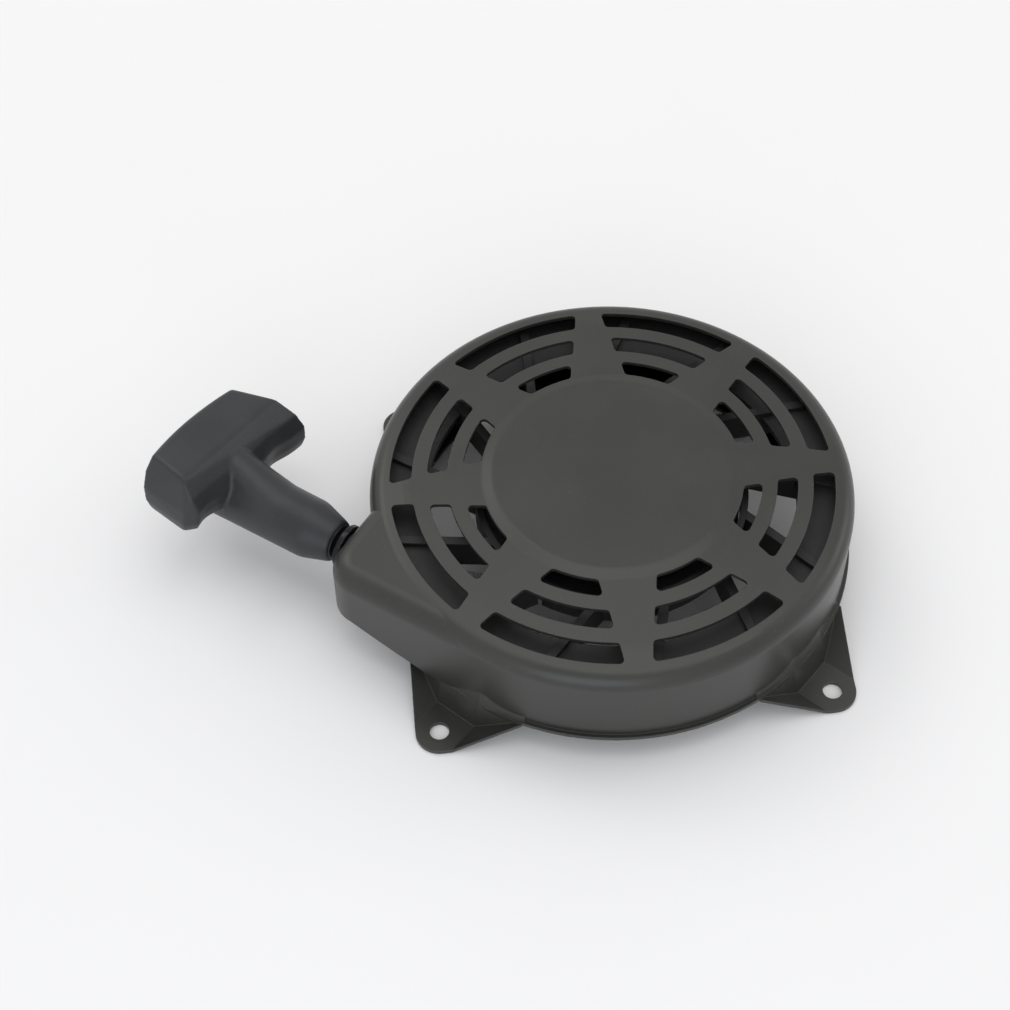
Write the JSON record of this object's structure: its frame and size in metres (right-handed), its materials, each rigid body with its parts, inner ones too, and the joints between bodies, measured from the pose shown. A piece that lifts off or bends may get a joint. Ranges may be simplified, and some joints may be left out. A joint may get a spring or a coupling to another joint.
{
  "type": "recoil starter",
  "caption": "Domed steel pull-start cover with slotted top, side rope outlet and T handle; spring-returned rope pulley with swing-out pawls underneath.",
  "frame": {"origin": "pulley axis at the plane of the four mounting ears' undersides", "axes": "+Z along the pulley axis to the slotted outer face, +X and +Y along the sides of the square hole pattern; the rope leaves towards -X +Y"},
  "size_m": [0.2561, 0.177, 0.0559],
  "materials": {
    "painted_steel": "satin black-olive paint on stamped steel",
    "guard_plastic": "moulded black plastic",
    "zinc_steel": "zinc plated",
    "spring_cup_steel": "dark phosphate coat",
    "spring_steel": "oiled blue-grey spring steel",
    "guide_steel": "glossy dark plated steel",
    "pawl_steel": "sintered steel",
    "pulley_plastic": "glass-filled nylon",
    "bush_plastic": "natural acetal",
    "rope": "braided nylon",
    "grip_plastic": "matt moulded plastic with a fine grain",
    "cap_plastic": "moulded plastic"
  },
  "bodies": {
    "cover": {"housing": "painted_steel", "guard_ring": "guard_plastic", "guard_collar": "guard_plastic", "guard_fins": "guard_plastic", "guard_skirt": "guard_plastic", "centre_post": "zinc_steel", "spring_cup": "spring_cup_steel", "recoil_spring": "spring_steel", "rope_guide": "guide_steel", "rope_guide_ring": "guide_steel", "centre_screw": "zinc_steel", "screw_washer": "zinc_steel", "brake_spring": "spring_steel", "thrust_washer": "spring_steel", "rope_run": "rope"},
    "pulley": {"pulley": "pulley_plastic", "pulley_bush": "bush_plastic", "pulley_knot": "rope", "rope_wound": "rope", "pawl_pins": "zinc_steel", "pawl_spring_1": "spring_steel", "pawl_spring_2": "spring_steel"},
    "friction_plate": {"friction_plate": "zinc_steel"},
    "pawl_1": {"pawl_1": "pawl_steel"},
    "pawl_2": {"pawl_2": "pawl_steel"},
    "handle": {"handle_grip": "grip_plastic", "handle_washer": "zinc_steel", "handle_knot": "rope", "handle_cap": "cap_plastic", "rope_lead": "rope"}
  },
  "joints": [
    {"name": "handle_pull", "type": "slide", "parent": "cover", "child": "handle", "axis": [-0.7815, 0.6239, 0], "range_m": [0, 1], "stiffness_N_per_m": 8, "springref_m": -1.2},
    {"name": "pulley_spin", "type": "hinge", "parent": "cover", "child": "pulley", "pos_m": [0, 0, 0.0295], "axis": [0, 0, 1], "range_deg": [-1621, 0], "deforming": ["rope_wound", "recoil_spring"]},
    {"name": "friction_plate_turn", "type": "hinge", "parent": "pulley", "child": "friction_plate", "pos_m": [0, 0, 0.019], "axis": [0, 0, 1], "range_deg": [0, 28]},
    {"name": "pawl_1_swing", "type": "hinge", "parent": "pulley", "child": "pawl_1", "pos_m": [0.024, 0, 0.022], "axis": [0, 0, 1], "range_deg": [0, 35.2]},
    {"name": "pawl_2_swing", "type": "hinge", "parent": "pulley", "child": "pawl_2", "pos_m": [-0.024, 0, 0.022], "axis": [0, 0, 1], "range_deg": [0, 35.2]}
  ],
  "couplings": [
    {"joint": "pulley_spin", "follows": "handle_pull", "rad_per_m": -28.274},
    {"joint": "pawl_1_swing", "follows": "friction_plate_turn", "ratio": 1.25},
    {"joint": "pawl_2_swing", "follows": "friction_plate_turn", "ratio": 1.25}
  ]
}
